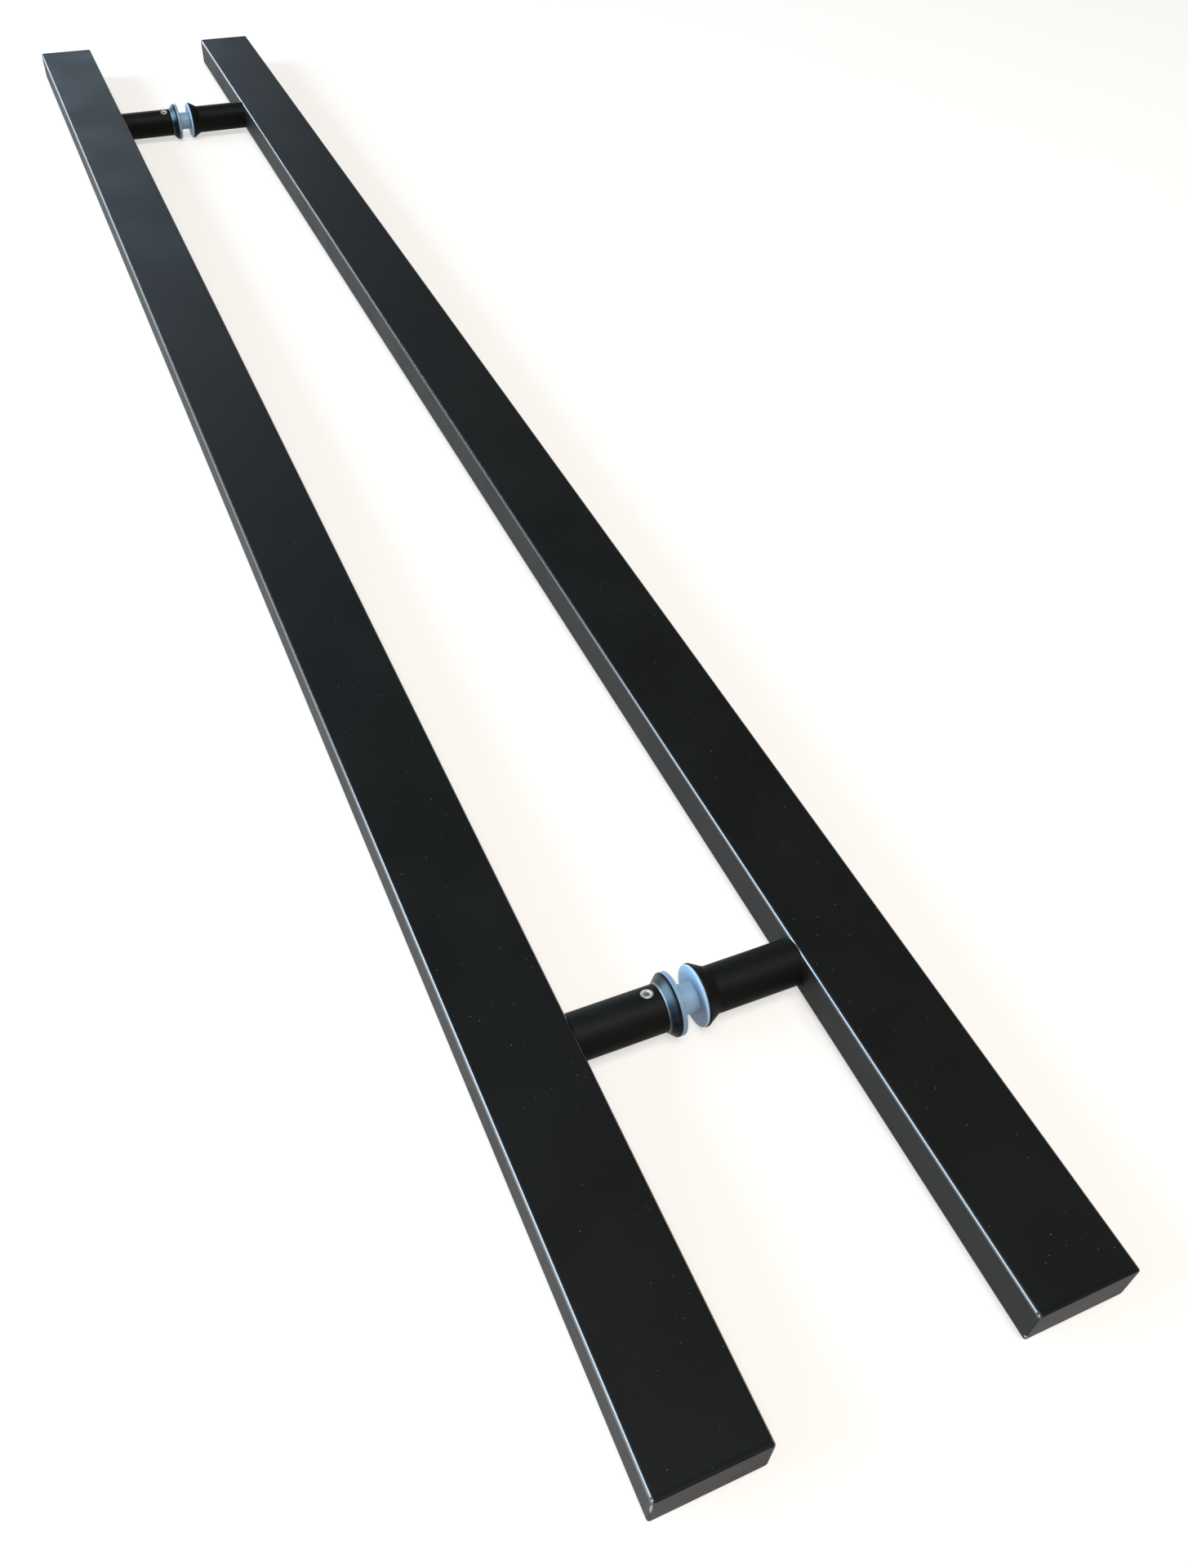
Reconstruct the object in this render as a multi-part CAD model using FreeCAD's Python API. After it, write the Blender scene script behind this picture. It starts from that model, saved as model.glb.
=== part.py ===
import FreeCAD, Part
import math
import os

from FreeCAD import Vector

# Ladder pull handle for a glass door: two bars, back to back, on two through-pane fixings.
# All sizes in millimetres. X runs from the left bar to the right bar, Y along the bars
# (near end at -Y), Z up out of the wide faces. The origin is the middle of the whole handle.

# Bars: rectangular tubes with welded end plates
bar_length = 1200.0          # over both end caps
bar_width = 40.0             # wide face
bar_depth = 19.0             # narrow face, where the posts stand
bar_wall = 1.5
bar_corner = 1.5             # outer corner radius of the tube
bar_inner_corner = 0.5
cap_thickness = 2.0
cap_edge = 0.8               # edge broken around a cap's outer face

# Posts and flares
post_pitch = 896.0           # between the two bolt axes
post_diameter = 18.8
post_end_chamfer = 0.3
weld_leg = 0.8               # weld between post and bar
left_standoff = 40.0         # bar face to clamp face, over the loose collar
right_standoff = 42.0        # bar face to clamp face, flare in one piece with the post
flare_diameter = 25.0
flare_rim = 0.6              # straight land at the large end of a flare
left_flare_length = 4.0
right_flare_length = 6.0

# Collar spigot inside the left post
spigot_diameter = 15.0
spigot_length = 17.0
spigot_chamfer = 0.5
spigot_clearance = 0.1       # radial, spigot to post bore
spigot_end_clearance = 1.5   # beyond the spigot, to the bottom of the post bore
collar_step = 0.4            # collar stands proud of the post, and is chamfered off

# Pane clamp: nylon ring on the left, flanged nylon bush on the right
pane_gap = 8.0               # thickness of the glass pane
ring_diameter = 25.0
ring_thickness = 2.0
bush_flange_diameter = 24.4
bush_flange_thickness = 1.2
nylon_edge = 0.3             # chamfer around the ring and the flange
neck_diameter = 12.0
neck_clearance = 0.2         # radial, neck to ring
neck_end_clearance = 0.5     # neck stops short of the collar, so the pane is gripped first

# M6 socket-head bolt, thread left plain
bolt_diameter = 6.0
bolt_length = 40.0           # under the head
bolt_tip_chamfer = 0.8
bolt_head_diameter = 10.0
bolt_head_height = 6.0
bolt_socket_flats = 5.0
bolt_socket_depth = 3.0
bolt_seat_depth = 13.5       # clamp face of the collar to the seat under the head
bolt_clearance = 0.2         # radial, shank to collar and bush
head_clearance = 0.3         # radial, head to counterbore
tap_runout = 3.0             # threaded hole beyond the bolt's tip
thread_clearance = 0.05      # radial, for both threads

# M5 grub screw, thread left plain
grub_diameter = 5.0
grub_length = 4.0
grub_offset = 4.7            # from the free end of the left post
grub_tilt = 15.0             # degrees off the vertical, towards the middle of the handle
grub_recess = 0.3            # top of the screw below the post's surface
grub_tip_chamfer = 0.7
grub_socket_flats = 2.5
grub_socket_depth = 2.0
groove_clearance = 0.3       # each side of the screw in the spigot's groove
grub_contact_gap = 0.05      # tip to the groove's floor

# Places along X, from the left bar to the right bar
half_gap = (left_standoff + ring_thickness + pane_gap + bush_flange_thickness + right_standoff) / 2
left_bar_face = -half_gap
right_bar_face = half_gap
left_clamp = left_bar_face + left_standoff
left_post_end = left_clamp - left_flare_length
right_clamp = right_bar_face - right_standoff
bolt_seat = left_clamp - bolt_seat_depth
bolt_tip = bolt_seat + bolt_length

# Radii that several pieces share
post_radius = post_diameter / 2
flare_radius = flare_diameter / 2
spigot_radius = spigot_diameter / 2
neck_radius = neck_diameter / 2
bolt_radius = bolt_diameter / 2
bolt_hole_radius = bolt_radius + bolt_clearance
grub_radius = grub_diameter / 2
grub_top = post_radius - grub_recess
grub_tip = grub_top - grub_length


def along_y(edge):
    first, last = edge.Vertexes[0].Point, edge.Vertexes[-1].Point
    return abs(last.y - first.y) > max(abs(last.x - first.x), abs(last.z - first.z))


def rounded_prism(x_low, y_low, width, length, depth, corner):
    # A box on the middle plane, with its four long edges along Y rounded
    box = Part.makeBox(width, length, depth, Vector(x_low, y_low, -depth / 2))
    return box.makeFillet(corner, [edge for edge in box.Edges if along_y(edge)])


def bar_outline(x_low, y_low, length):
    return rounded_prism(x_low, y_low, bar_width, length, bar_depth, bar_corner)


def tube(x_low):
    # Rectangular tube between the two caps
    length = bar_length - 2 * cap_thickness
    hollow_width = bar_width - 2 * bar_wall
    hollow_depth = bar_depth - 2 * bar_wall
    hollow = rounded_prism(x_low + bar_wall, -length / 2, hollow_width, length, hollow_depth,
                           bar_inner_corner)
    return bar_outline(x_low, -length / 2, length).cut(hollow)


def end_cap(x_low, side):
    # Plate on the tube's end, chamfered around its outer face; side is -1 near, +1 far
    outer_y = side * bar_length / 2
    inner_y = outer_y - side * cap_thickness
    plate = bar_outline(x_low, min(outer_y, inner_y), cap_thickness)
    rim = [edge for edge in plate.Edges
           if all(abs(vertex.Y - outer_y) < cap_edge / 2 for vertex in edge.Vertexes)]
    return plate.makeChamfer(cap_edge, rim)


def turned(profile, y):
    # Solid of revolution about the bolt axis at y, from (x, radius) corners in order
    corners = [Vector(x, y + radius, 0) for x, radius in profile]
    face = Part.Face(Part.makePolygon(corners + corners[:1]))
    return face.revolve(Vector(0, y, 0), Vector(1, 0, 0), 360)


def hexagon(flats, centre, first, second, depth):
    # Hexagonal prism: first and second span its base, depth is the way it is drawn out
    radius = flats / math.sqrt(3)
    angles = [math.radians(60 * step) for step in range(6)]
    corners = [centre + first * (radius * math.cos(a)) + second * (radius * math.sin(a)) for a in angles]
    return Part.Face(Part.makePolygon(corners + corners[:1])).extrude(depth)


def root_weld(bar_face, y, inward):
    # Fillet weld on the flat of the bar's narrow face; inward is +1 on the left bar, -1 on the right
    toe = bar_face + inward * weld_leg
    ring = turned([(bar_face, post_radius - weld_leg), (bar_face, post_radius + weld_leg),
                   (toe, post_radius), (toe, post_radius - weld_leg)], y)
    flat = bar_depth - 2 * bar_corner
    span = 2 * (post_radius + 2 * weld_leg)
    slab = Part.makeBox(2 * weld_leg, span, flat, Vector(bar_face - weld_leg, y - span / 2, -flat / 2))
    return ring.common(slab)


def seat_on_bar(post, x_low, bar_face, y, inward):
    # Scribe the post's root to the bar's rounded corners and weld it on
    span = 2 * post_diameter
    scribed = post.cut(bar_outline(x_low, y - span / 2, span))
    return scribed.fuse(root_weld(bar_face, y, inward)).removeSplitter()


def lean_inwards(shape, y):
    # Turn a grub screw or its hole about the post's axis, towards the middle of the handle
    shape.rotate(Vector(0, y, 0), Vector(1, 0, 0), math.copysign(grub_tilt, y))


def left_post(y):
    root = left_bar_face - bar_corner
    bore_radius = spigot_radius + spigot_clearance
    bore_floor = left_post_end - spigot_length - spigot_end_clearance
    post = turned([(root, 0), (root, post_radius),
                   (left_post_end - post_end_chamfer, post_radius),
                   (left_post_end, post_radius - post_end_chamfer),
                   (left_post_end, bore_radius), (bore_floor, bore_radius), (bore_floor, 0)], y)
    hole = Part.makeCylinder(grub_radius + thread_clearance, post_radius * 2,
                             Vector(left_post_end - grub_offset, y, 0))
    lean_inwards(hole, y)
    return seat_on_bar(post.cut(hole), left_bar_face - bar_width, left_bar_face, y, 1)


def right_post(y):
    root = right_bar_face + bar_corner
    tap_radius = bolt_radius + thread_clearance
    tap_floor = bolt_tip + tap_runout
    post = turned([(root, 0), (root, post_radius),
                   (right_clamp + right_flare_length, post_radius),
                   (right_clamp + flare_rim, flare_radius), (right_clamp, flare_radius),
                   (right_clamp, tap_radius), (tap_floor, tap_radius),
                   (tap_floor + tap_radius, 0)], y)
    return seat_on_bar(post, right_bar_face, right_bar_face, y, -1)


def left_collar(y):
    lip_radius = post_radius + collar_step
    groove_floor = grub_tip - grub_contact_gap
    groove_half = grub_radius + groove_clearance
    groove_middle = left_post_end - grub_offset
    spigot_end = left_post_end - spigot_length
    head_bore = bolt_head_diameter / 2 + head_clearance
    return turned([(left_clamp, bolt_hole_radius), (left_clamp, flare_radius),
                   (left_clamp - flare_rim, flare_radius),
                   (left_post_end + collar_step, lip_radius), (left_post_end, post_radius),
                   (left_post_end, spigot_radius),
                   (groove_middle + groove_half, spigot_radius), (groove_middle + groove_half, groove_floor),
                   (groove_middle - groove_half, groove_floor), (groove_middle - groove_half, spigot_radius),
                   (spigot_end + spigot_chamfer, spigot_radius), (spigot_end, spigot_radius - spigot_chamfer),
                   (spigot_end, head_bore), (bolt_seat, head_bore), (bolt_seat, bolt_hole_radius)], y)


def left_ring(y):
    bore = neck_radius + neck_clearance
    outer = ring_diameter / 2
    face = left_clamp + ring_thickness
    return turned([(left_clamp, bore), (left_clamp, outer - nylon_edge), (left_clamp + nylon_edge, outer),
                   (face - nylon_edge, outer), (face, outer - nylon_edge), (face, bore)], y)


def right_bush(y):
    outer = bush_flange_diameter / 2
    face = right_clamp - bush_flange_thickness
    neck_end = left_clamp + neck_end_clearance
    return turned([(right_clamp, bolt_hole_radius), (right_clamp, outer - nylon_edge),
                   (right_clamp - nylon_edge, outer), (face + nylon_edge, outer), (face, outer - nylon_edge),
                   (face, neck_radius), (neck_end, neck_radius), (neck_end, bolt_hole_radius)], y)


def through_bolt(y):
    head_end = bolt_seat - bolt_head_height
    bolt = turned([(head_end, 0), (head_end, bolt_head_diameter / 2), (bolt_seat, bolt_head_diameter / 2),
                   (bolt_seat, bolt_radius), (bolt_tip - bolt_tip_chamfer, bolt_radius),
                   (bolt_tip, bolt_radius - bolt_tip_chamfer), (bolt_tip, 0)], y)
    socket = hexagon(bolt_socket_flats, Vector(head_end, y, 0), Vector(0, 1, 0), Vector(0, 0, 1),
                     Vector(bolt_socket_depth, 0, 0))
    return bolt.cut(socket)


def grub_screw(y):
    centre = Vector(left_post_end - grub_offset, y, 0)
    shank_low = grub_tip + grub_tip_chamfer
    shank = Part.makeCylinder(grub_radius, grub_top - shank_low, centre + Vector(0, 0, shank_low))
    point = Part.makeCone(grub_radius - grub_tip_chamfer, grub_radius, grub_tip_chamfer,
                          centre + Vector(0, 0, grub_tip))
    socket = hexagon(grub_socket_flats, centre + Vector(0, 0, grub_top), Vector(1, 0, 0), Vector(0, 1, 0),
                     Vector(0, 0, -grub_socket_depth))
    screw = shank.fuse(point).removeSplitter().cut(socket)
    lean_inwards(screw, y)
    return screw


def build():
    pieces = {}
    for side, x_low in (("left", left_bar_face - bar_width), ("right", right_bar_face)):
        pieces[side + "_bar"] = tube(x_low)
        for end, direction in (("near", -1), ("far", 1)):
            pieces[f"{side}_end_cap_{end}"] = end_cap(x_low, direction)
    fixing = {"left_post": left_post, "left_collar": left_collar, "grub_screw": grub_screw,
              "left_ring": left_ring, "right_bush": right_bush, "through_bolt": through_bolt,
              "right_post": right_post}
    for end, y in (("near", -post_pitch / 2), ("far", post_pitch / 2)):
        for name, make in fixing.items():
            pieces[f"{name}_{end}"] = make(y)
    return pieces


os.makedirs("parts", exist_ok=True)
for node, shape in build().items():
    shape.exportStep(f"parts/{node}.step")
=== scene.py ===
import math

import bmesh
import bpy
import numpy as np
from mathutils import Matrix, Vector


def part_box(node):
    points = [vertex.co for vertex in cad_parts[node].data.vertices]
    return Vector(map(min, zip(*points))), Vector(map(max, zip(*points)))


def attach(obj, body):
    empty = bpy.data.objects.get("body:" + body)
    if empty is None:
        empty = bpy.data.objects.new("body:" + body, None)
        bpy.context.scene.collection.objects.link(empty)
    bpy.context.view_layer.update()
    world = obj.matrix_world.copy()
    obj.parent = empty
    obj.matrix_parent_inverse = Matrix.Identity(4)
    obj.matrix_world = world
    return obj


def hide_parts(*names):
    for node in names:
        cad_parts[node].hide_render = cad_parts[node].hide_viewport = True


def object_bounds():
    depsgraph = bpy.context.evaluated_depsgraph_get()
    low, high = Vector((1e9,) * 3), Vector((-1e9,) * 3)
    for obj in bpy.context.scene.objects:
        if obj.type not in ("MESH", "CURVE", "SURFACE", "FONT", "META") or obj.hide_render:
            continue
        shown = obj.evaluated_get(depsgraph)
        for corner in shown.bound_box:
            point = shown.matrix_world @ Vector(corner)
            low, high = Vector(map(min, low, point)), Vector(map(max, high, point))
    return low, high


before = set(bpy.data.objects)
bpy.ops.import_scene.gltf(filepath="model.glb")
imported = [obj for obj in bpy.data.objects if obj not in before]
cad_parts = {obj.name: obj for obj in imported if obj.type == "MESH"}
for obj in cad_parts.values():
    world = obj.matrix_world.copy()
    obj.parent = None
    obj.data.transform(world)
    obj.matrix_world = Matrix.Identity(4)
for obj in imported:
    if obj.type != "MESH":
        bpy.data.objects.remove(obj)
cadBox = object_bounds()                 # the CAD box, before anything is added
print("frame loaded with", len(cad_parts), "nodes")

mm = 0.001                           # sizes below are in millimetres, meshes in metres
mergeReach = 1e-7                    # metres; points closer than this become one
axisX, axisY, axisZ = np.eye(3)


def boxOf(node):
    low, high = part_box(node)
    return np.array(low) / mm, np.array(high) / mm


def unit(vectors):
    return vectors / np.linalg.norm(vectors, axis=-1, keepdims=True)


def anglesOf(steps):
    return np.arange(steps) * 2 * np.pi / steps


def roundedPath(corners, radii, steps, closed=True):
    # every corner turns into an arc tangent to its two sides: the arc begins radius * tan(turn / 2) back
    # from the corner, and its points blend the two end radii by sines of the swept angle
    corners = np.array(corners, float)
    toBefore = unit(np.roll(corners, 1, 0) - corners)
    toAfter = unit(np.roll(corners, -1, 0) - corners)
    turn = np.pi - np.arccos(np.clip((toBefore * toAfter).sum(1), -1, 1))[:, None]
    radii = np.broadcast_to(radii, len(corners))[:, None]
    centre = corners + unit(toBefore + toAfter) * radii / np.cos(turn / 2)
    first = corners + toBefore * radii * np.tan(turn / 2) - centre
    last = corners + toAfter * radii * np.tan(turn / 2) - centre
    share = np.linspace(0, 1, steps + 1)[None, :, None]
    sweep = turn[:, :, None]
    arcs = first[:, None] * np.sin((1 - share) * sweep) + last[:, None] * np.sin(share * sweep)
    arcs = centre[:, None] + arcs / np.sin(sweep)
    if closed:
        return arcs.reshape(-1, 2)
    return np.concatenate([corners[:1], arcs[1:-1].reshape(-1, 2), corners[-1:]])


def gridCells(rows, columns, closeRows=False):
    # cell (r, c) joins points (r, c), (r, c + 1), (r + 1, c + 1) and (r + 1, c); columns wrap round
    r, c = np.meshgrid(np.arange(rows if closeRows else rows - 1), np.arange(columns), indexing="ij")
    below, beside = (r + 1) % rows, (c + 1) % columns
    return np.stack([r * columns + c, r * columns + beside,
                     below * columns + beside, below * columns + c], -1)


def spin(along, radius, centre, axes, steps):
    # a profile carried round an axis: centre + axis * along + (first * cos + second * sin) * radius,
    # where along and radius may also change with the angle
    axis, first, second = axes
    angle = anglesOf(steps)
    ring = np.cos(angle)[:, None] * first + np.sin(angle)[:, None] * second
    along = np.asarray(along, float).reshape(len(along), -1)
    radius = np.asarray(radius, float).reshape(len(radius), -1)
    return np.asarray(centre) + along[..., None] * axis + radius[..., None] * ring


def smoothByArea(mesh):
    # the normal at a point is the sum of its faces' normals times their areas, so flats stay flat
    # right up to the small arcs beside them
    faceCount, cornerCount = len(mesh.polygons), len(mesh.loops)
    normals, areas = np.empty(faceCount * 3), np.empty(faceCount)
    sides, corners = np.empty(faceCount, int), np.empty(cornerCount, int)
    mesh.polygons.foreach_get("normal", normals)
    mesh.polygons.foreach_get("area", areas)
    mesh.polygons.foreach_get("loop_total", sides)
    mesh.loops.foreach_get("vertex_index", corners)
    pull = np.repeat(normals.reshape(-1, 3) * areas[:, None], sides, axis=0)
    total = np.zeros((len(mesh.vertices), 3))
    np.add.at(total, corners, pull)
    mesh.shade_smooth()
    mesh.normals_split_custom_set_from_vertices(unit(total).tolist())


def addObject(name, data):
    item = bpy.data.objects.new(name, data)
    bpy.context.scene.collection.objects.link(item)
    return item


def addPiece(node, points, cells, finish, wearAndPaintedLight=None):
    # points in millimetres, any grid shape; wearAndPaintedLight is what the finish reads: above 0 where it is
    # worn, on the nylon flange's edge for a painted highlight and in a socket for painted shade, below 0
    # where it is left matt
    points = points.reshape(-1, 3)
    mesh = bpy.data.meshes.new(node + "_skin")
    faces = np.concatenate([c.reshape(-1, 4) for c in cells])
    mesh.from_pydata((points * mm).tolist(), [], faces.tolist())
    rubbed = mesh.attributes.new("wearAndPaintedLight", "FLOAT", "POINT")
    rubbed.data.foreach_set("value", np.zeros(len(points)) if wearAndPaintedLight is None else wearAndPaintedLight.ravel())
    shape = bmesh.new()
    shape.from_mesh(mesh)
    bmesh.ops.remove_doubles(shape, verts=shape.verts, dist=mergeReach)      # poles are rows of one point
    bmesh.ops.recalc_face_normals(shape, faces=shape.faces)
    shape.to_mesh(mesh)
    shape.free()
    smoothByArea(mesh)
    piece = addObject(node + "_skin", mesh)
    mesh.materials.append(finish["material"])
    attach(piece, "root")
    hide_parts(node)


# Shader nodes: put() adds one node, with values or links for its inputs
def put(tree, kind, inputs=None, **settings):
    node = tree.nodes.new("ShaderNode" + kind)
    for key, value in settings.items():
        setattr(node, key, value)
    for key, value in (inputs or {}).items():
        if isinstance(value, bpy.types.NodeSocket):
            tree.links.new(value, node.inputs[key])
        else:
            node.inputs[key].default_value = value
    return node


def emptyTree(owner):
    owner.use_nodes = True
    owner.node_tree.nodes.clear()
    return owner.node_tree


def startGroup(name, inputs, outputs):
    # every group takes a place on the piece and some values, and puts out values
    group = bpy.data.node_groups.new(name, "ShaderNodeTree")
    group.interface.new_socket("Vector", in_out="INPUT", socket_type="NodeSocketVector")
    for labels, way in ((inputs, "INPUT"), (outputs, "OUTPUT")):
        for label in labels:
            group.interface.new_socket(label, in_out=way, socket_type="NodeSocketFloat")
    source = group.nodes.new("NodeGroupInput")
    target = group.nodes.new("NodeGroupOutput")
    return group, source.outputs, target.inputs


grainLook = {"driftDetail": 5.0, "peelDetail": 2.0, "toneFrom": 0.3, "toneTo": 0.7}


def makeGrainGroup(look):
    # soft drift of tone over centimetres, and the fine orange peel of a sprayed or moulded skin
    group, given, result = startGroup("skinGrain", ["Drift", "Peel"], ["Tone", "Height"])
    drift = put(group, "TexNoise", {"Vector": given["Vector"], "Scale": given["Drift"],
                                    "Detail": look["driftDetail"]})
    peel = put(group, "TexNoise", {"Vector": given["Vector"], "Scale": given["Peel"],
                                   "Detail": look["peelDetail"]})
    tone = put(group, "MapRange", {"Value": drift.outputs["Fac"], "From Min": look["toneFrom"],
                                   "From Max": look["toneTo"]})
    group.links.new(tone.outputs["Result"], result["Tone"])
    group.links.new(peel.outputs["Fac"], result["Height"])
    return group


speckLook = {"core": 0.4}            # share of a speck's radius that shows in full


def makeDustGroup(look):
    # specks: a point of each cell shows where the surface passes within its own small radius
    group, given, result = startGroup("dustSpecks", ["Cells", "Size"], ["Mask"])
    cells = put(group, "TexVoronoi", {"Vector": given["Vector"], "Scale": given["Cells"]}).outputs
    chance = put(group, "SeparateColor", {"Color": cells["Color"]}).outputs
    reach = put(group, "Math", {0: given["Size"], 1: chance["Red"]}, operation="MULTIPLY").outputs[0]
    core = put(group, "Math", {0: reach, 1: look["core"]}, operation="MULTIPLY").outputs[0]
    speck = put(group, "MapRange", {"Value": cells["Distance"], "From Min": reach, "From Max": core})
    weak = put(group, "Math", {0: speck.outputs["Result"], 1: chance["Green"]}, operation="MULTIPLY")
    group.links.new(weak.outputs[0], result["Mask"])
    return group


wearLook = {"detail": 4.0, "fade": 0.25}


def makeWearGroup(look):
    # wear: the rub mark on the mesh, broken up by noise, shows where the two together pass a limit
    group, given, result = startGroup("rubbedEdge", ["Rub", "Scale", "Limit"], ["Mask"])
    noise = put(group, "TexNoise", {"Vector": given["Vector"], "Scale": given["Scale"],
                                    "Detail": look["detail"]})
    both = put(group, "Math", {0: noise.outputs["Fac"], 1: given["Rub"]}, operation="ADD")
    over = put(group, "Math", {0: both.outputs[0], 1: given["Limit"]}, operation="SUBTRACT")
    mask = put(group, "MapRange", {"Value": over.outputs[0], "From Max": look["fade"]})
    group.links.new(mask.outputs["Result"], result["Mask"])
    return group


skinGrain = makeGrainGroup(grainLook)
dustSpecks = makeDustGroup(speckLook)
rubbedEdge = makeWearGroup(wearLook)
bumpDepth = 0.02                     # millimetres, for every finish


def mixColours(tree, factor, first, second):
    # inputs 6 and 7 and output 2 are the ones of a Mix node that carry colours
    return put(tree, "Mix", {0: factor, 6: first, 7: second}, data_type="RGBA").outputs[2]


def startMaterial(name, look):
    # every finish: object coordinates, grain for colour, roughness and bump, and a plain shader
    material = bpy.data.materials.new(name)
    tree = emptyTree(material)
    shader = put(tree, "BsdfPrincipled", {"Specular IOR Level": look["specular"]})
    put(tree, "OutputMaterial", {"Surface": shader.outputs[0]})
    place = put(tree, "TexCoord").outputs["Object"]
    grain = put(tree, "Group", {"Vector": place, "Drift": look["drift"], "Peel": look["peel"]},
                node_tree=skinGrain).outputs
    least, most = look["rough"]
    rough = put(tree, "MapRange", {"Value": grain["Tone"], "To Min": least, "To Max": most})
    tree.links.new(rough.outputs["Result"], shader.inputs["Roughness"])
    bump = put(tree, "Bump", {"Height": grain["Height"], "Strength": look["bump"],
                              "Distance": bumpDepth * mm})
    tree.links.new(bump.outputs["Normal"], shader.inputs["Normal"])
    return material, tree, shader, place, mixColours(tree, grain["Tone"], look["dark"], look["pale"])


def wearAndPaintedLightOn(tree):
    return put(tree, "Attribute", attribute_name="wearAndPaintedLight").outputs["Fac"]


def wearOn(tree, place, wearAndPaintedLight, look):
    return put(tree, "Group", {"Vector": place, "Rub": wearAndPaintedLight, "Scale": look["wearScale"],
                               "Limit": look["wearLimit"]}, node_tree=rubbedEdge).outputs[0]


def dustOn(tree, place, look):
    return put(tree, "Group", {"Vector": place, "Cells": look["dustCells"], "Size": look["dustSize"]},
               node_tree=dustSpecks).outputs[0]


def linkShine(tree, shader, wearAndPaintedLight, look):
    # below 0, the wear and painted light mark says what is left matt
    shine = put(tree, "MapRange", {"Value": wearAndPaintedLight, "From Min": -1.0, "From Max": 0.0,
                                   "To Min": look["mattSpecular"], "To Max": look["specular"]})
    tree.links.new(shine.outputs["Result"], shader.inputs["Specular IOR Level"])


def chipMask(tree, place, chip, look):
    # 1 inside a small ragged oval round one point: the distance to it, each axis measured in its own reach
    at, reach = ([value * mm for value in chip[key]] for key in ("at", "reach"))
    away = put(tree, "VectorMath", {0: place, 1: at}, operation="SUBTRACT")
    share = put(tree, "VectorMath", {0: away.outputs[0], 1: reach}, operation="DIVIDE")
    far = put(tree, "VectorMath", {0: share.outputs[0]}, operation="LENGTH").outputs["Value"]
    ragged = put(tree, "TexNoise", {"Vector": place, "Scale": look["chipScale"]}).outputs["Fac"]
    edge = put(tree, "Math", {0: far, 1: ragged}, operation="ADD").outputs[0]
    outer, inner = look["chipFade"]
    return put(tree, "MapRange", {"Value": edge, "From Min": outer, "From Max": inner}).outputs["Result"]


# chips are places in millimetres where the coat is knocked pale
blackLook = {"dark": (0.0050, 0.0056, 0.0052, 1), "pale": (0.0080, 0.0087, 0.0081, 1),
             "rubbed": (0.03, 0.031, 0.031, 1), "dust": (0.38, 0.37, 0.36, 1),
             "chipped": (0.40, 0.41, 0.42, 1), "specular": 0.17, "mattSpecular": 0.05, "rough": (0.50, 0.58),
             "drift": 22.0, "peel": 1400.0, "bump": 0.25, "wearScale": 260.0, "wearLimit": 1.1,
             "dustCells": 420.0, "dustSize": 0.09, "edgeGloss": 0.6, "edgeRoughness": 0.23, "edgeIor": 2.08,
             "chipScale": 1500.0, "chipFade": (1.5, 1.3),
             "chips": ({"at": (-86.4, -599.8, 4.3), "reach": (0.5, 0.5, 4.0)},
                       {"at": (46.8, -599.8, -6.6), "reach": (0.7, 0.7, 0.8)})}


def makeBlackCoat(look):
    material, tree, shader, place, colour = startMaterial("blackCoat", look)
    wearAndPaintedLight = wearAndPaintedLightOn(tree)
    colour = mixColours(tree, wearOn(tree, place, wearAndPaintedLight, look), colour, look["rubbed"])
    facing = put(tree, "SeparateXYZ", {0: put(tree, "NewGeometry").outputs["Normal"]})
    lying = put(tree, "Math", {0: dustOn(tree, place, look), 1: facing.outputs["Z"]},
                operation="MULTIPLY", use_clamp=True)                # dust lies on what faces up
    colour = mixColours(tree, lying.outputs[0], colour, look["dust"])
    for chip in look["chips"]:
        colour = mixColours(tree, chipMask(tree, place, chip, look), colour, look["chipped"])
    tree.links.new(colour, shader.inputs["Base Color"])
    polish = put(tree, "MapRange", {"Value": wearAndPaintedLight, "From Max": look["edgeGloss"]})
    tree.links.new(polish.outputs["Result"], shader.inputs["Coat Weight"])      # handled edges are polished
    shader.inputs["Coat Roughness"].default_value = look["edgeRoughness"]
    shader.inputs["Coat IOR"].default_value = look["edgeIor"]
    linkShine(tree, shader, wearAndPaintedLight, look)
    return material


# the bluish dark and pale colours and the blue reflection tint stand in for the blue light from the left
collarLook = {"dark": (0.005, 0.008, 0.012, 1), "pale": (0.008, 0.012, 0.018, 1),
              "bare": (0.19, 0.20, 0.205, 1), "paintedReflectionTint": (0.72, 0.92, 1.0, 1), "specular": 0.8,
              "mattSpecular": 0.05, "rough": (0.34, 0.44), "drift": 60.0, "peel": 1400.0, "bump": 0.1,
              "wearScale": 240.0, "wearLimit": 0.95, "sheen": 0.25}


def makeCollarCoat(look):
    material, tree, shader, place, colour = startMaterial("collarCoat", look)
    wearAndPaintedLight = wearAndPaintedLightOn(tree)
    bare = wearOn(tree, place, wearAndPaintedLight, look)
    tree.links.new(mixColours(tree, bare, colour, look["bare"]), shader.inputs["Base Color"])
    sheen = put(tree, "Math", {0: bare, 1: look["sheen"]}, operation="MULTIPLY")
    tree.links.new(sheen.outputs[0], shader.inputs["Metallic"])
    # a painted blue tint on the collar's reflections
    shader.inputs["Specular Tint"].default_value = look["paintedReflectionTint"]
    linkShine(tree, shader, wearAndPaintedLight, look)
    return material


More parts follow.
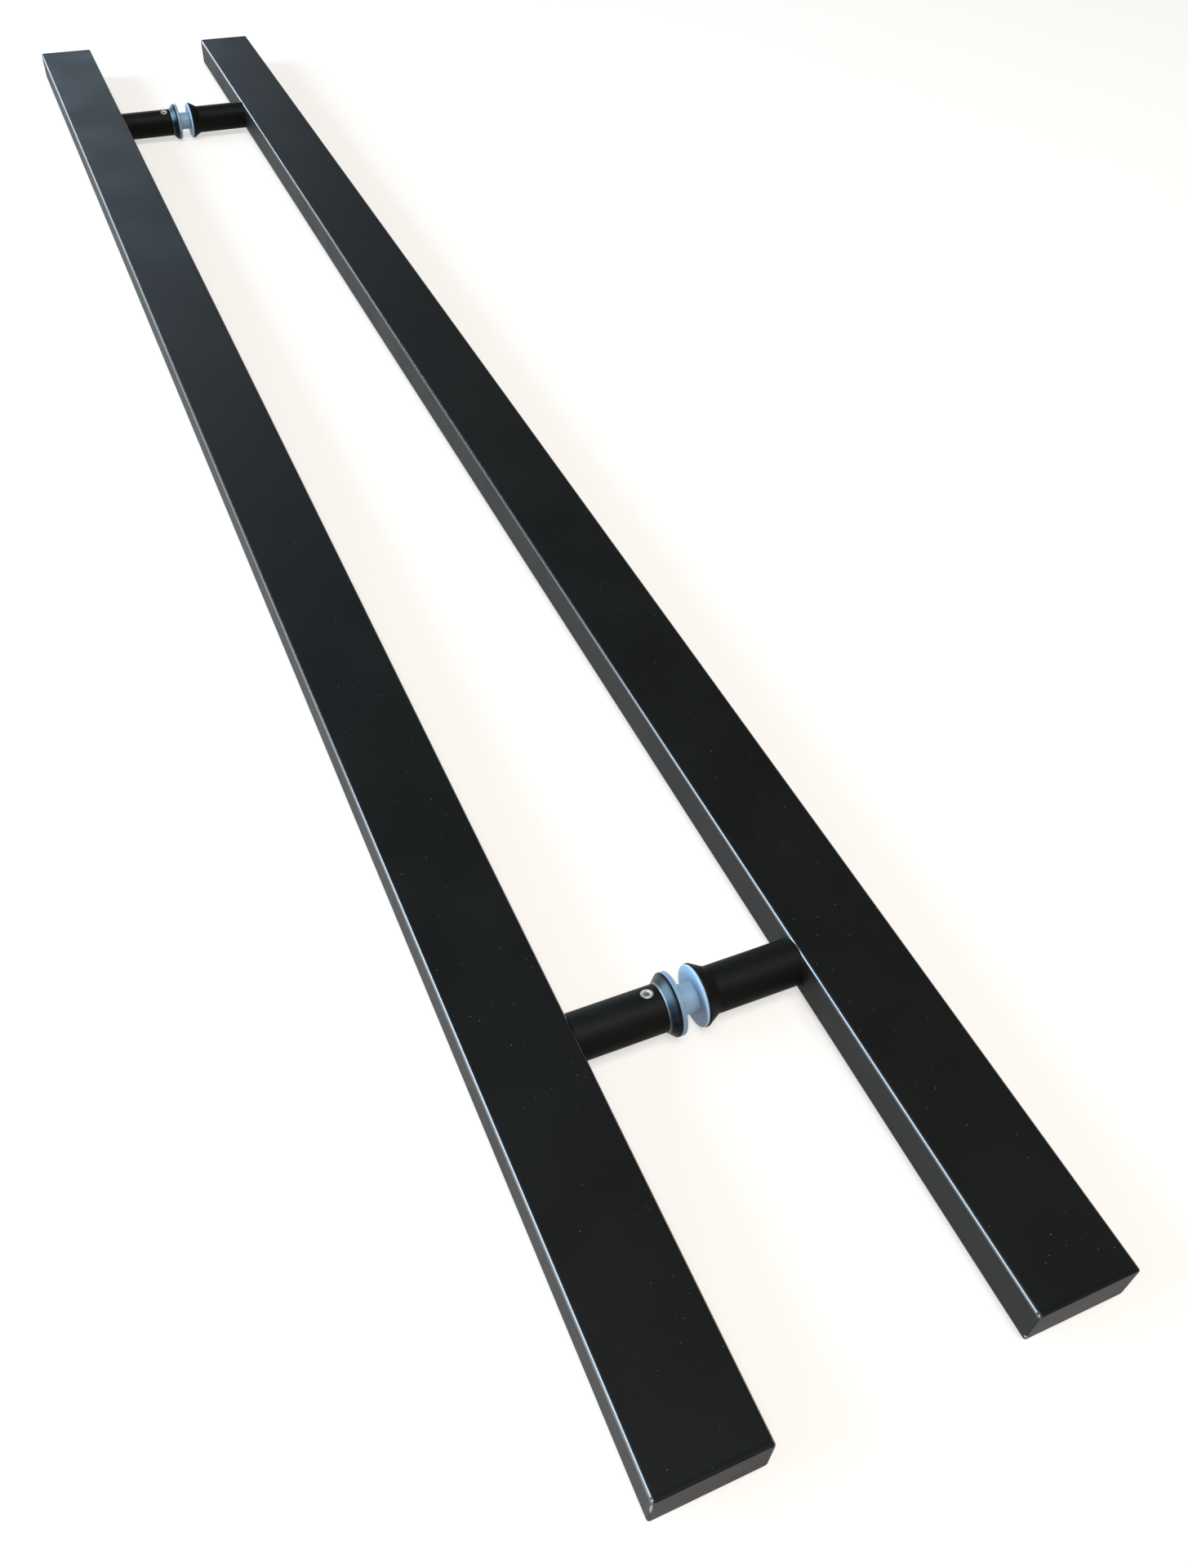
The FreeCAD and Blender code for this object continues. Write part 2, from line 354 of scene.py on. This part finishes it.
# the nylon's light blue is partly the blue of the light from the left, painted into its colour
nylonLook = {"dark": (0.31, 0.47, 0.64, 1), "pale": (0.34, 0.505, 0.68, 1), "dust": (0.3, 0.33, 0.38, 1),
             # edge is a paler colour painted on the bush flange's outer edge as a highlight
             "edge": (0.50, 0.74, 0.95, 1), "specular": 0.5, "rough": (0.36, 0.46), "drift": 90.0,
             "peel": 1100.0, "bump": 0.08, "dustCells": 300.0, "dustSize": 0.05}
# the rings are greyer than the bushes
ringLook = dict(nylonLook, dark=(0.245, 0.38, 0.53, 1), pale=(0.27, 0.415, 0.57, 1))


def makeNylon(name, look):
    material, tree, shader, place, colour = startMaterial(name, look)
    colour = mixColours(tree, wearAndPaintedLightOn(tree), colour, look["edge"])     # the flange's outer edge is painted paler, as a highlight
    colour = mixColours(tree, dustOn(tree, place, look), colour, look["dust"])
    tree.links.new(colour, shader.inputs["Base Color"])
    return material


# recess is a darker colour painted into the grub screw's hexagon socket as shade
steelLook = {"dark": (0.66, 0.66, 0.65, 1), "pale": (0.88, 0.88, 0.87, 1), "recess": (0.26, 0.26, 0.25, 1),
             "metal": 0.5, "specular": 0.5, "rough": (0.28, 0.42), "drift": 500.0, "peel": 2600.0,
             "bump": 0.15}


def makeScrewSteel(look):
    material, tree, shader, _, colour = startMaterial("screwSteel", look)
    # the socket's rows get the recess colour: painted shade
    tree.links.new(mixColours(tree, wearAndPaintedLightOn(tree), colour, look["recess"]), shader.inputs["Base Color"])
    shader.inputs["Metallic"].default_value = look["metal"]
    return material


black = {"material": makeBlackCoat(blackLook), "slot": "black_coat"}
collarFinish = {"material": makeCollarCoat(collarLook), "slot": "collar_coat"}
nylon = {"material": makeNylon("coolNylon", nylonLook), "slot": "nylon"}
ringNylon = {"material": makeNylon("greyNylon", ringLook), "slot": "nylon"}
steel = {"material": makeScrewSteel(steelLook), "slot": "screw_steel"}
print("finishes made")

barLook = {"wall": 1.5, "corner": 1.5, "innerCorner": 0.5, "arcSteps": 10, "rubPeak": 0.40}


def barLoop(low, high, inset, corner, y):
    # rounded rectangle in X and Z, set in from the bar's outline, at one place along Y
    left, right, bottom, top = low[0] + inset, high[0] - inset, low[2] + inset, high[2] - inset
    loop = roundedPath([(left, bottom), (right, bottom), (right, top), (left, top)],
                       corner, barLook["arcSteps"])
    return np.stack([loop[:, 0], np.full(len(loop), y), loop[:, 1]], -1)


def cornerRub():
    # a parabola over each corner arc, from 0 at the narrow face to 1 at the peak and 0 short of the wide one
    share = np.linspace(0, 1, barLook["arcSteps"] + 1)
    rise = np.concatenate([share, 1 - share, share, 1 - share]) / barLook["rubPeak"] - 1
    return np.clip(1 - rise ** 2, 0, 1)


def makeBar(node, look):
    # tube: the outer outline at both ends and the inner one back again, joined into one closed skin
    low, high = boxOf(node)
    outer, inner = (0, look["corner"]), (look["wall"], look["innerCorner"])
    loops = [barLoop(low, high, *shape, y) for shape, y in
             ((outer, low[1]), (outer, high[1]), (inner, high[1]), (inner, low[1]))]
    points, edge = np.stack(loops), cornerRub()
    wearAndPaintedLight = np.stack([edge, edge, 0 * edge, 0 * edge])
    addPiece(node, points, [gridCells(*points.shape[:2], closeRows=True)], black, wearAndPaintedLight)


capLook = {"rim": 0.8, "rimSteps": 6}


def makeCap(node, look):
    # plate: rings set in by rim * (1 - cos) while they rise by rim * sin, a middle point on either face
    low, high = boxOf(node)
    side = np.sign(low[1] + high[1])
    inside, outside = (low[1], high[1]) if side > 0 else (high[1], low[1])
    turn = np.linspace(0, np.pi / 2, look["rimSteps"] + 1)
    inset = np.concatenate([[0], look["rim"] * (1 - np.cos(turn))])
    height = np.concatenate([[inside], outside - side * look["rim"] * (1 - np.sin(turn))])
    loops = [barLoop(low, high, i, barLook["corner"] - i, y) for i, y in zip(inset, height)]
    middle = (low + high) / 2
    points = np.stack([0 * loops[0] + [middle[0], inside, middle[2]], *loops,
                       0 * loops[0] + [middle[0], outside, middle[2]]])
    fade = np.concatenate([[0, 1], np.cos(turn) ** 2, [0]])          # the bar's edges run out over the rim
    wearAndPaintedLight = fade[:, None] * cornerRub()
    addPiece(node, points, [gridCells(*points.shape[:2])], black, wearAndPaintedLight)


for side in ("left", "right"):
    makeBar(side + "_bar", barLook)
    for end in ("near", "far"):
        makeCap(f"{side}_end_cap_{end}", capLook)
print("bars and end caps made")

postLook = {"steps": 64, "weldLeg": 0.8, "weldSteps": 6, "weldFade": 0.9, "mattFrom": 0.85, "mattOver": 0.5,
            "endEdge": 0.3, "wall": 1.8, "boreDepth": 18.5, "boreEdge": 0.1, "boreSteps": 4,    # left posts
            "flareLength": 6.0, "flareRim": 0.6, "tapRadius": 3.05, "tapDepth": 18.3,           # right posts
            "turnedRadii": (0, 0.6, 0.2, 0.2, 0.15, 0.15, 0), "turnedSteps": 5}
postRadius = boxOf("left_post_near")[1][2]
barHalf = boxOf("left_bar")[1][2]


def fixingY(end):
    low, high = boxOf("left_post_" + end)
    return (low[1] + high[1]) / 2


def spinFixing(along, radius, end, steps):
    # round the axis that a post, collar, washers and bolt share, with along as the frame's X
    return spin(along, radius, (0, fixingY(end), 0), (axisX, axisY, axisZ), steps)


def mattBelow(height, look):
    # the underside is left matt: 0 down to one height, in radii, then falling to -1 over a share of a radius
    return -np.clip((look["mattFrom"] - height) / look["mattOver"], 0, 1)


def rootRows(angle, look):
    # the post's root is cut flat on the bar's face, so the bar's rounded edge runs on behind it; the weld
    # is a concave quarter round of its leg, fading out by a smooth step where that edge starts
    height = np.abs(postRadius * np.sin(angle))
    fade = np.clip((barHalf - barLook["corner"] - height) / look["weldFade"], 0, 1)
    turn = np.linspace(0, np.pi / 2, look["weldSteps"] + 1)[:, None]
    along = look["weldLeg"] * (1 - np.cos(turn)) + 0 * angle
    return along, postRadius + fade * fade * (3 - 2 * fade) * look["weldLeg"] * (1 - np.sin(turn))


def postRows(profile, angle, look):
    # the closing point on the bar's face, the root rows, then the (distance, radius) profile, all round
    along, radius = rootRows(angle, look)
    level = np.ones(len(angle))
    point = 0 * level[None]
    return (np.concatenate([point, along, profile[:, :1] * level]),
            np.concatenate([point, radius, profile[:, 1:] * level]))


# socketRows counts the last rows of the profile, which lie at the bottom of the socket
grubLook = {"lean": 15.0, "holeRadius": 2.55, "holeEdge": 0.12, "windowCells": 8, "windowRings": 3,
            "angleDigits": 6, "radius": 2.5, "length": 4.0, "recess": 0.3, "tip": 0.7, "socket": 2.5,
            "socketDepth": 2.0, "socketRows": 3, "mouth": 0.28, "pitch": 0.8, "depth": 0.4, "edge": 0.18,
            "steps": 96, "rowsPerTurn": 10}


def grubX(end):
    return np.mean([corner[0] for corner in boxOf("grub_screw_" + end)])


def leanOf(end):
    # the grub screws lean towards the middle of the bars
    return math.radians(grubLook["lean"]) * -np.sign(fixingY(end))


def leanAxes(end):
    # the post's axis, a direction across it, and the way the grub screw points
    lean = leanOf(end)
    across = math.cos(lean) * axisY - math.sin(lean) * axisZ
    return axisX, across, math.sin(lean) * axisY + math.cos(lean) * axisZ


def ringCells(rings):
    # cells between successive rings of point numbers
    after = np.roll(rings, -1, axis=1)
    return np.stack([rings[:-1], after[:-1], after[1:], rings[1:]], -1)


def makeLeftPost(end, look, hole):
    # a tube with a blind bore; the hole for the grub screw takes a square window out of the outer skin and
    # one out of the bore, and rings pass from each square to the hole's circle by straight shares
    node = "left_post_" + end
    face, reach = boxOf("left_bar")[1][0], boxOf(node)[1][0]
    centre = np.array([face, fixingY(end), 0])
    screwX, axes = grubX(end) - face, leanAxes(end)
    steps, cells = look["steps"], hole["windowCells"]
    window = screwX + (np.arange(cells + 1) - cells / 2) * 2 * np.pi * postRadius / steps
    length, bore = reach - face, postRadius - look["wall"]
    edge, lip, floor = look["endEdge"], look["boreEdge"], length - look["boreDepth"]
    outer = np.stack([window, 0 * window + postRadius], -1)
    mouth = roundedPath([outer[-1], (length, postRadius), (length, bore), (window[-1], bore)],
                        [0, edge, lip, 0], look["boreSteps"], closed=False)
    inner = np.stack([window[::-1], 0 * window + bore], -1)
    blind = [(floor, bore), (floor, 0)]
    profile = np.concatenate([outer, mouth[1:-1], inner, blind])
    along, radius = postRows(profile, anglesOf(steps) - leanOf(end), look)
    points = spin(along, radius, centre, axes, steps)
    rows = len(along)
    keep = np.ones((rows - 1, steps), bool)
    firstOuter, firstInner = rows - len(profile), rows - len(inner) - len(blind)
    columns = steps // 4 + np.arange(cells + 1) - cells // 2         # the screw points a quarter turn on
    patches, rings, count = [], [], rows * steps
    for first, surface, broken in ((firstOuter, postRadius, hole["holeEdge"]), (firstInner, bore, 0)):
        lines = first + np.arange(cells + 1)
        keep[np.ix_(lines[:-1], columns[:-1])] = False
        loop = np.concatenate([lines[0] * steps + columns[:-1], lines[:-1] * steps + columns[-1],
                               lines[-1] * steps + columns[:0:-1], lines[:0:-1] * steps + columns[0]])
        offset = points.reshape(-1, 3)[loop] - centre - screwX * axisX
        square = np.stack([offset @ axes[0], offset @ axes[1]], -1)
        # rounded, so that the point at angle 0 isn't sorted as one just short of a full turn
        bearing = np.round(np.arctan2(square[:, 1], square[:, 0]), hole["angleDigits"]) % (2 * np.pi)
        order = np.argsort(bearing)
        loop, square = loop[order], square[order]
        turn = anglesOf(len(loop))
        circle = np.stack([np.cos(turn), np.sin(turn)], -1)
        share = (np.arange(1, hole["windowRings"] + 1) / hole["windowRings"])[:, None, None]
        plan = square + ((hole["holeRadius"] + broken) * circle - square) * share
        sink = np.zeros(len(plan))
        if broken:                                                   # only the outer edge is broken
            plan = np.concatenate([plan, hole["holeRadius"] * circle[None]])
            sink = np.append(sink, broken)
        # a point lies on its cylinder: its rise squared is the radius squared less its place across squared
        rise = np.sqrt(surface ** 2 - plan[..., 1] ** 2) - sink[:, None]
        patch = (centre + screwX * axisX + plan[..., :1] * axes[0]
                 + plan[..., 1:] * axes[1] + rise[..., None] * axes[2])
        numbers = count + np.arange(patch.shape[0] * len(loop)).reshape(-1, len(loop))
        count += numbers.size
        patches.append(patch.reshape(-1, 3))
        rings.append(np.concatenate([loop[None], numbers]))
    wall = np.stack([rings[0][-1], rings[1][-1]])
    skin = gridCells(rows, steps)[keep]
    everything = np.concatenate([points.reshape(-1, 3), *patches])
    matt = mattBelow(everything[:, 2] / postRadius, look)
    addPiece(node, everything, [skin, *map(ringCells, (*rings, wall))], black, matt)


def makeRightPost(end, look):
    # a solid post with its flare turned in one piece and a blind hole with a drill's cone at the bottom
    node = "right_post_" + end
    low, high = boxOf(node)
    face = boxOf("right_bar")[0][0]
    length, flare = face - low[0], high[2]
    tap, floor = look["tapRadius"], length - look["tapDepth"]
    profile = roundedPath([(look["weldLeg"], postRadius), (length - look["flareLength"], postRadius),
                           (length - look["flareRim"], flare), (length, flare), (length, tap), (floor, tap),
                           (floor - tap, 0)], look["turnedRadii"], look["turnedSteps"], closed=False)
    along, radius = postRows(profile[1:], anglesOf(look["steps"]), look)
    points = spin(along, radius, (face, fixingY(end), 0), (-axisX, axisY, axisZ), look["steps"])
    matt = mattBelow(points[..., 2] / postRadius, look)
    addPiece(node, points, [gridCells(*points.shape[:2])], black, matt)


collarShape = {"steps": 96, "rim": 0.6, "step": 0.4, "spigot": 7.5, "grooveHalf": 2.8, "grooveFloor": 5.05,
               "grooveOffset": 4.7, "endChamfer": 0.5, "headBore": 5.3, "boltHole": 3.2, "seatDepth": 13.5,
               "edge": 0.12, "edgeSteps": 4, "lipReach": 0.3, "coneRows": (0.3, 0.6, 0.75, 0.85, 0.92, 0.97),
               "offSpigot": 1.0, "rubWidth": 0.35, "wornSide": 0.55, "rimReach": 0.1,
               "mattFrom": 0.7, "mattOver": 0.35}


def makeCollar(end, look):
    # one closed profile spun round the bolt's axis: flare, lip, spigot with its groove, counterbore, hole
    node = "left_collar_" + end
    low, high = boxOf(node)
    clamp, flare, spigotEnd = high[0], high[2], low[0]
    postEnd = boxOf("left_post_" + end)[1][0]
    spigot, floor, hole, head = (look[key] for key in ("spigot", "grooveFloor", "boltHole", "headBore"))
    groove, lip, seat = postEnd - look["grooveOffset"], postEnd + look["step"], clamp - look["seatDepth"]
    grooveLow, grooveHigh = groove - look["grooveHalf"], groove + look["grooveHalf"]
    profile = roundedPath([(clamp, hole), (clamp, flare), (clamp - look["rim"], flare),
                           (lip, postRadius + look["step"]), (postEnd, postRadius),
                           (postEnd, spigot), (grooveHigh, spigot), (grooveHigh, floor), (grooveLow, floor),
                           (grooveLow, spigot), (spigotEnd + look["endChamfer"], spigot),
                           (spigotEnd, spigot - look["endChamfer"]), (spigotEnd, head), (seat, head),
                           (seat, hole)], look["edge"], look["edgeSteps"])
    # rows added along the cone, closer towards the lip, keep the wear narrow
    past = np.argmax(profile[:, 0] < lip + look["lipReach"])
    share = np.array(look["coneRows"])[:, None]
    cone = profile[past - 1] + (profile[past] - profile[past - 1]) * share
    profile = np.insert(profile, past, cone, axis=0)
    points = spinFixing(profile[:, 0], profile[:, 1], end, look["steps"])
    outside = profile[:, 1] > spigot + look["offSpigot"]
    # the lip is worn by a bell curve across it, least underneath
    near = np.exp(-((profile[:, 0] - postEnd - look["step"] / 2) / look["rubWidth"]) ** 2) * outside
    height = np.sin(anglesOf(look["steps"]))
    wearAndPaintedLight = near[:, None] * np.clip(look["wornSide"] + height, 0, 1)
    rim = profile[:, 1] > flare - look["rimReach"]
    matt = mattBelow(height, look) * (1 - near[:, None])
    wearAndPaintedLight = np.where(rim[:, None], -1, wearAndPaintedLight + matt)                     # the rim is left matt too
    addPiece(node, points, [gridCells(*points.shape[:2], closeRows=True)], collarFinish, wearAndPaintedLight)


nylonShape = {"steps": 112, "edge": 0.3, "inner": 0.12, "ringBore": 6.2, "flange": 1.2, "neck": 6.0,
              "bushHole": 3.2, "neckFillet": 0.25, "arcSteps": 6}


def makeNylonPieces(end, look):
    # the flat ring and the flanged bush: closed profiles spun round the bolt's axis
    edge, inner, bore, hole, neck = (look[key] for key in ("edge", "inner", "ringBore", "bushHole", "neck"))
    low, high = boxOf("left_ring_" + end)
    ring = roundedPath([(low[0], bore), (low[0], high[2]), (high[0], high[2]), (high[0], bore)],
                       [inner, edge, edge, inner], look["arcSteps"])
    low, high = boxOf("right_bush_" + end)
    flat = high[0] - look["flange"]
    bush = roundedPath([(high[0], hole), (high[0], high[2]), (flat, high[2]), (flat, neck),
                        (low[0], neck), (low[0], hole)],
                       [inner, edge, edge, look["neckFillet"], edge, inner], look["arcSteps"])
    flangeHighlight = np.clip((bush[:, 1] - high[2] + edge) / edge, 0, 1)       # painted highlight along the flange's outer edge
    for name, profile, finish, mark in (("left_ring_", ring, ringNylon, 0 * ring[:, 1]),
                                        ("right_bush_", bush, nylon, flangeHighlight)):
        points = spinFixing(profile[:, 0], profile[:, 1], end, look["steps"])
        wearAndPaintedLight = np.repeat(mark, look["steps"])
        addPiece(name + end, points, [gridCells(*points.shape[:2], closeRows=True)], finish, wearAndPaintedLight)


# for both kinds of screw: small edges in millimetres, the bend of a bevel's middle, and shares of a groove
screwLook = {"tipEdge": 0.05, "socketEdge": 0.1, "bend": 0.3, "crest": 0.1, "flank": 0.8}


def hexRadius(flats, angle):
    # distance from the middle to a hexagon's side: half the flats over the cosine of the angle from the
    # middle of that side
    return flats / 2 / np.cos(angle % (np.pi / 3) - np.pi / 6)


def threadRows(low, high, look, angle):
    # a helix of V grooves under the full radius: the share of a turn at each point, folded to a triangle,
    # sets how deep it lies, and the groove runs out over one pitch at both ends
    pitch = look["pitch"]
    along = np.linspace(low, high, int(round((high - low) / pitch * look["rowsPerTurn"])) + 1)[:, None]
    fold = np.abs(2 * ((along / pitch - angle / (2 * np.pi)) % 1) - 1)
    runOut = np.clip(np.minimum(along - low, high - along) / pitch, 0, 1)
    groove = np.clip((fold - screwLook["crest"]) / screwLook["flank"], 0, 1)
    return along + 0 * angle, look["radius"] - look["depth"] * runOut * groove


def stackRows(angle, *parts):
    # parts are (along, radius) pairs, plain numbers or one value for each angle, or whole blocks of rows
    rows = [(np.broadcast_to(np.atleast_2d(a), (np.atleast_2d(a).shape[0], len(angle))),
             np.broadcast_to(np.atleast_2d(r), (np.atleast_2d(a).shape[0], len(angle)))) for a, r in parts]
    return np.concatenate([a for a, r in rows]), np.concatenate([r for a, r in rows])


def makeGrubScrew(end, look):
    # from the tip up: cone, threaded side, broken edge, flat top, hexagon socket with a lead-in, its floor
    small, inner, bend = (screwLook[key] for key in ("tipEdge", "socketEdge", "bend"))
    angle = anglesOf(look["steps"])
    axis, across, upwards = leanAxes(end)
    top = postRadius - look["recess"]
    tip, wide, edge, mouth = top - look["length"], look["radius"], look["edge"], look["mouth"]
    hexagon, floor = hexRadius(look["socket"], angle), top - look["socketDepth"]
    point = wide - look["tip"]
    along, radius = stackRows(
        angle, (tip, 0), (tip, point - small), (tip + small, point), (tip + look["tip"], wide),
        threadRows(tip + look["tip"] + small, top - edge - small, look, angle),
        (top - edge, wide), (top - bend * edge, wide - bend * edge), (top, wide - edge),
        (top, hexagon + mouth), (top - bend * mouth, hexagon + bend * mouth), (top - mouth, hexagon),
        (floor + inner, hexagon), (floor, hexagon - inner), (floor, 0))
    points = spin(along, radius, (grubX(end), fixingY(end), 0), (upwards, axis, across), look["steps"])
    row = np.arange(len(along))[:, None]
    # the last rows, down in the socket, are marked for painted shade
    socketShade = np.broadcast_to(row >= len(along) - look["socketRows"], along.shape).astype(float)
    addPiece("grub_screw_" + end, points, [gridCells(*points.shape[:2])], steel, socketShade)


# knurlFrom and knurlTo say where the knurls fade, in edges from the head's top and seat
boltLook = {"steps": 72, "radius": 3.0, "headRadius": 5.0, "headHeight": 6.0, "socket": 5.0,
            "socketDepth": 3.0, "mouth": 0.2, "edge": 0.4, "seatEdge": 0.1, "underHead": 0.2, "knurls": 36,
            "knurlDepth": 0.12, "knurlFrom": 1.5, "knurlTo": 0.5, "threadLength": 22.0, "pitch": 1.0,
            "depth": 0.5, "tip": 0.8, "rowsPerTurn": 10}


def makeBolt(end, look):
    # from the socket's floor out: hexagon, head with knurls as a wave of cosines, shank, thread, tip
    small, inner, bend = (screwLook[key] for key in ("tipEdge", "socketEdge", "bend"))
    node = "through_bolt_" + end
    low, high = boxOf(node)
    angle = anglesOf(look["steps"])
    top, tip = low[0], high[0]
    seat, edge, wide, under = top + look["headHeight"], look["edge"], look["radius"], look["underHead"]
    hexagon, mouth, head = hexRadius(look["socket"], angle), look["mouth"], look["headRadius"]
    knurled = head - look["knurlDepth"] * (0.5 - 0.5 * np.cos(look["knurls"] * angle))
    floor, screwEnd, point = top + look["socketDepth"], tip - look["tip"], wide - look["tip"]
    along, radius = stackRows(
        angle, (floor, 0), (floor, hexagon - inner), (floor - inner, hexagon), (top + mouth, hexagon),
        (top + bend * mouth, hexagon + bend * mouth), (top, hexagon + mouth), (top, head - edge),
        (top + bend * edge, head - bend * edge), (top + edge, head),
        (top + look["knurlFrom"] * edge, knurled), (seat - edge, knurled),
        (seat - look["knurlTo"] * edge, head), (seat, head - look["seatEdge"]),
        (seat, wide + under), (seat + under, wide),
        threadRows(screwEnd - look["threadLength"], screwEnd - small, look, angle),
        (screwEnd, wide), (tip - small, point), (tip, point - small), (tip, 0))
    points = spinFixing(along, radius, end, look["steps"])
    addPiece(node, points, [gridCells(*points.shape[:2])], steel)


for end in ("near", "far"):
    makeLeftPost(end, postLook, grubLook)
    makeRightPost(end, postLook)
    makeCollar(end, collarShape)
    makeNylonPieces(end, nylonShape)
    makeGrubScrew(end, grubLook)
    makeBolt(end, boltLook)
print("posts, collars, washers and screws made")

# Floor, lights and camera
floorLook = {"size": 12.0, "colour": (0.60, 0.57, 0.53, 1), "lift": (1.0, 0.98, 0.96, 1), "strength": 0.58}


def makeFloor(look):
    # one large square under the lowest point; camera, glossy and transmission rays get a little lift to white
    half, z = look["size"] / 2, cadBox[0].z
    corners = [(-half, -half, z), (half, -half, z), (half, half, z), (-half, half, z)]
    mesh = bpy.data.meshes.new("floor")
    mesh.from_pydata(corners, [], [(0, 1, 2, 3)])
    material = bpy.data.materials.new("paleFloor")
    tree = emptyTree(material)
    rays = put(tree, "LightPath").outputs
    seen = put(tree, "Math", {0: rays["Is Camera Ray"], 1: rays["Is Glossy Ray"]}, operation="MAXIMUM")
    seen = put(tree, "Math", {0: seen.outputs[0], 1: rays["Is Transmission Ray"]}, operation="MAXIMUM")
    strength = put(tree, "Math", {0: seen.outputs[0], 1: look["strength"]}, operation="MULTIPLY")
    matte = put(tree, "BsdfDiffuse", {"Color": look["colour"]})
    glow = put(tree, "Emission", {"Color": look["lift"], "Strength": strength.outputs[0]})
    both = put(tree, "AddShader", {0: matte.outputs[0], 1: glow.outputs[0]})
    put(tree, "OutputMaterial", {"Surface": both.outputs[0]})
    mesh.materials.append(material)
    addObject("floor", mesh)


makeFloor(floorLook)

# soft panels, in metres and degrees: turn is from +Y round to -X; level is a panel's own brightness, with
# white as 1
lightLook = {"key": {"turn": 172.0, "away": 1.5, "height": 3.1, "size": (2.2, 1.8), "level": 4.6,
                     "colour": (1.0, 0.97, 0.93)},
             "window": {"turn": 77.0, "away": 2.6, "height": 0.88, "size": (2.6, 1.6), "level": 7.4,
                        "colour": (0.57, 0.78, 1.0)},
             "horizon": {"turn": 8.0, "away": 5.0, "height": 1.05, "size": (3.0, 0.9), "level": 5.3,
                         "colour": (0.62, 0.80, 1.0)}}
panelWatts = 4                       # watts for each square metre of a panel at level 1


def makeLights(look):
    for name, panel in look.items():
        data = bpy.data.lights.new(name, "AREA")
        data.shape = "RECTANGLE"
        data.size, data.size_y = panel["size"]
        data.energy = panelWatts * data.size * data.size_y * panel["level"]
        data.color = panel["colour"]
        lamp = addObject(name, data)
        turn, away = math.radians(panel["turn"]), panel["away"]
        lamp.location = (-away * math.sin(turn), away * math.cos(turn), panel["height"])
        lamp.rotation_euler = (-lamp.location).to_track_quat("-Z", "Y").to_euler()
        lamp.visible_camera = False


makeLights(lightLook)

skyLook = {"low": (0.78, 0.70, 0.61, 1), "high": (0.108, 0.106, 0.098, 1), "fadeFrom": 0.04, "fadeTo": 0.22}


def makeSky(look):
    # pale near the horizon and dim overhead
    world = bpy.data.worlds.new("studio")
    bpy.context.scene.world = world
    tree = emptyTree(world)
    height = put(tree, "SeparateXYZ", {0: put(tree, "TexCoord").outputs["Generated"]}).outputs["Z"]
    fade = put(tree, "MapRange", {"Value": height, "From Min": look["fadeFrom"], "From Max": look["fadeTo"]},
               interpolation_type="SMOOTHSTEP")
    colour = mixColours(tree, fade.outputs["Result"], look["low"], look["high"])
    sky = put(tree, "Background", {"Color": colour})
    put(tree, "OutputWorld", {"Surface": sky.outputs[0]})


makeSky(skyLook)

# the camera's place in millimetres and its angles in degrees, fitted to the photo's straight edges; clip is
# in metres
cameraLook = {"place": (-159.97, -680.47, 409.49), "turn": 26.534, "down": 46.627, "roll": -3.901,
              "focalPixels": 1599.85, "longSidePixels": 1920, "sensor": 36.0, "clip": (0.01, 100.0)}


def makeCamera(look):
    # forward is +Y turned towards +X and tipped down, and up is then rolled round it
    turn, down, roll = (math.radians(look[key]) for key in ("turn", "down", "roll"))
    forward = Vector((math.sin(turn) * math.cos(down), math.cos(turn) * math.cos(down), -math.sin(down)))
    level = forward.cross(Vector((0, 0, 1))).normalized()
    up = level.cross(forward) * math.cos(roll) + level * math.sin(roll)
    data = bpy.data.cameras.new("photoCamera")
    data.sensor_width = look["sensor"]
    data.lens = look["sensor"] * look["focalPixels"] / look["longSidePixels"]
    data.clip_start, data.clip_end = look["clip"]
    camera = addObject("photoCamera", data)
    camera.matrix_world = Matrix((forward.cross(up), up, -forward)).transposed().to_4x4()
    camera.location = Vector(look["place"]) * mm
    bpy.context.scene.camera = camera


makeCamera(cameraLook)
bpy.context.scene.view_settings.view_transform = "Standard"
print("floor, lights and camera made")
